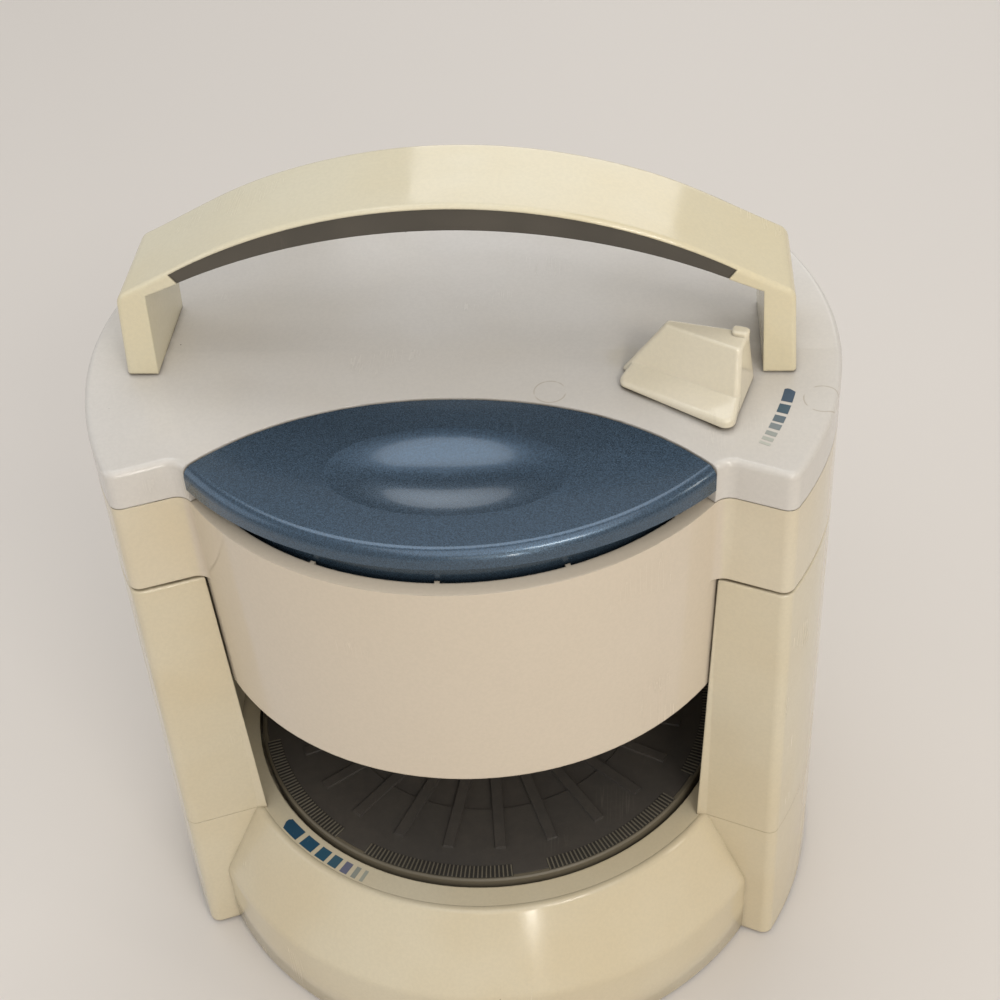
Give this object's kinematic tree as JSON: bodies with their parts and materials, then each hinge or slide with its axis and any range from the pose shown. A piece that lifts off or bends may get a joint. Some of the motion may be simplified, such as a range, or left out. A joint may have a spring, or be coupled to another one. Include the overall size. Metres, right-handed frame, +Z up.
{
  "type": "electric jar opener",
  "caption": "Electric jar opener: ribbed turntable in a round base, sliding head with swing jaws for the lid, wide start button, release lever and arched handle.",
  "frame": {"origin": "on the turntable's axis, at the level that the feet stand on", "axes": "+Z up along the turntable's axis, +X to the user's right, -Y towards the user"},
  "size_m": [0.221, 0.1961, 0.2583],
  "materials": {
    "cream_housing": "glossy moulded ABS, yellowed",
    "white_cover": "glossy moulded ABS",
    "ivory_handle": "glossy moulded ABS, more yellowed",
    "ivory_lever": "glossy moulded ABS, more yellowed",
    "pearl_blue": "pearl slate blue lacquer on plastic",
    "soft_grip": "soft matt elastomer",
    "charcoal_plastic": "matt moulded plastic",
    "charcoal_rubber": "matt rubber mat",
    "black_rubber": "matt rubber",
    "black_plastic": "matt moulded plastic",
    "grey_plastic": "glass filled nylon",
    "white_acetal": "natural acetal",
    "bright_steel": "ground steel",
    "zinc_steel": "zinc plated steel",
    "motor_steel": "drawn steel can",
    "brass_pinion": "machined brass"
  },
  "bodies": {
    "base": {"base_shell": "cream_housing", "bottom_pan": "grey_plastic", "feet": "black_rubber", "pan_screws": "zinc_steel", "cord_bush": "black_rubber", "gear_plate": "grey_plastic", "gear_plate_screws": "zinc_steel", "drive_motor": "motor_steel", "idler_pin": "bright_steel", "turntable_bush": "white_acetal", "tower_housing": "cream_housing", "rod_bushes": "white_acetal"},
    "turntable": {"turntable_platter": "charcoal_plastic", "turntable_mat": "charcoal_rubber", "turntable_spindle": "bright_steel", "turntable_gear": "white_acetal", "retaining_clip": "bright_steel"},
    "idler": {"idler_gear": "white_acetal"},
    "pinion": {"motor_pinion": "brass_pinion"},
    "head": {"head_housing": "cream_housing", "top_cover": "white_cover", "start_switch": "black_plastic", "jaw_plate": "grey_plastic", "ring_cover_plate": "grey_plastic", "plate_screws": "zinc_steel", "lid_pad": "black_rubber", "handle": "ivory_handle", "handle_grip": "soft_grip", "handle_screws": "zinc_steel", "guide_rods": "bright_steel", "button_springs": "bright_steel"},
    "button": {"start_button": "pearl_blue"},
    "release": {"release_ring": "white_acetal", "release_lever": "ivory_lever"},
    "jaw_1": {"jaw_arm_1": "grey_plastic", "jaw_pinion_1": "white_acetal", "jaw_tip_pad_1": "black_rubber"},
    "jaw_2": {"jaw_arm_2": "grey_plastic", "jaw_pinion_2": "white_acetal", "jaw_tip_pad_2": "black_rubber"},
    "jaw_3": {"jaw_arm_3": "grey_plastic", "jaw_pinion_3": "white_acetal", "jaw_tip_pad_3": "black_rubber"}
  },
  "joints": [
    {"name": "turntable_spin", "type": "hinge", "parent": "base", "child": "turntable", "pos_m": [0, 0, 0.05], "axis": [0, 0, 1], "continuous": true},
    {"name": "idler_spin", "type": "hinge", "parent": "base", "child": "idler", "pos_m": [-0.04677, 0.027, 0.035], "axis": [0, 0, 1], "continuous": true},
    {"name": "pinion_spin", "type": "hinge", "parent": "base", "child": "pinion", "pos_m": [-0.02876, 0.05818, 0.035], "axis": [0, 0, 1], "continuous": true},
    {"name": "head_slide", "type": "slide", "parent": "base", "child": "head", "axis": [0, 0, 1], "range_m": [0, 0.1]},
    {"name": "button_press", "type": "slide", "parent": "head", "child": "button", "axis": [0, 0, -1], "range_m": [0, 0.003], "stiffness_N_per_m": 900, "springref_m": -0.002, "deforming": ["button_springs"]},
    {"name": "lever_swing", "type": "hinge", "parent": "head", "child": "release", "pos_m": [0, 0, 0.142], "axis": [0, 0, 1], "range_deg": [0, 12], "stiffness_Nm_per_rad": 0.8, "springref_deg": -11.46},
    {"name": "jaw_swing_1", "type": "hinge", "parent": "head", "child": "jaw_1", "pos_m": [0, 0.0576, 0.13], "axis": [0, 0, 1], "range_deg": [0, 69.6]},
    {"name": "jaw_swing_2", "type": "hinge", "parent": "head", "child": "jaw_2", "pos_m": [-0.04988, -0.0288, 0.13], "axis": [0, 0, 1], "range_deg": [0, 69.6]},
    {"name": "jaw_swing_3", "type": "hinge", "parent": "head", "child": "jaw_3", "pos_m": [0.04988, -0.0288, 0.13], "axis": [0, 0, 1], "range_deg": [0, 69.6]}
  ],
  "couplings": [
    {"joint": "idler_spin", "follows": "turntable_spin", "ratio": -5},
    {"joint": "pinion_spin", "follows": "turntable_spin", "ratio": 15},
    {"joint": "jaw_swing_1", "follows": "lever_swing", "ratio": 5.8},
    {"joint": "jaw_swing_2", "follows": "lever_swing", "ratio": 5.8},
    {"joint": "jaw_swing_3", "follows": "lever_swing", "ratio": 5.8}
  ]
}
